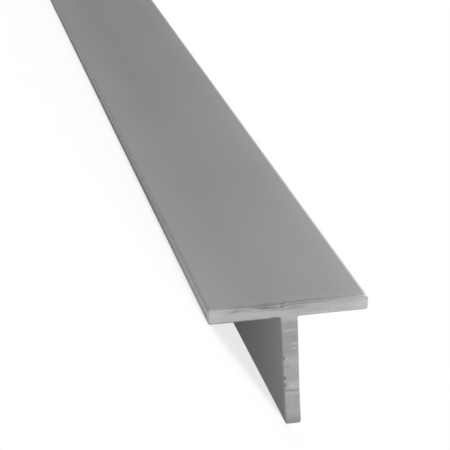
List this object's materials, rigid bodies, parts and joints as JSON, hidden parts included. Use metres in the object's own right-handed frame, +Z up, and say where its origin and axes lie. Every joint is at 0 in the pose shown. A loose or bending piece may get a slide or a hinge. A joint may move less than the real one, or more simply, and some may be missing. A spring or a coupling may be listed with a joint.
{
  "type": "aluminium t-bar",
  "caption": "Length of extruded aluminium T-bar stock: a flat flange on a centred web, with softened edges, root fillets and sawn, deburred ends.",
  "frame": {"origin": "on the floor under the middle of the bar, at mid length, as it lies tipped onto one flange edge and one edge of its foot", "axes": "+Y along the bar, +X across it from the flange to the web's foot, +Z up from the floor"},
  "size_m": [0.024, 1, 0.0221],
  "materials": {
    "aluminium": "satin, as extruded"
  },
  "bodies": {
    "root": {"t_bar": "aluminium"}
  },
  "joints": []
}
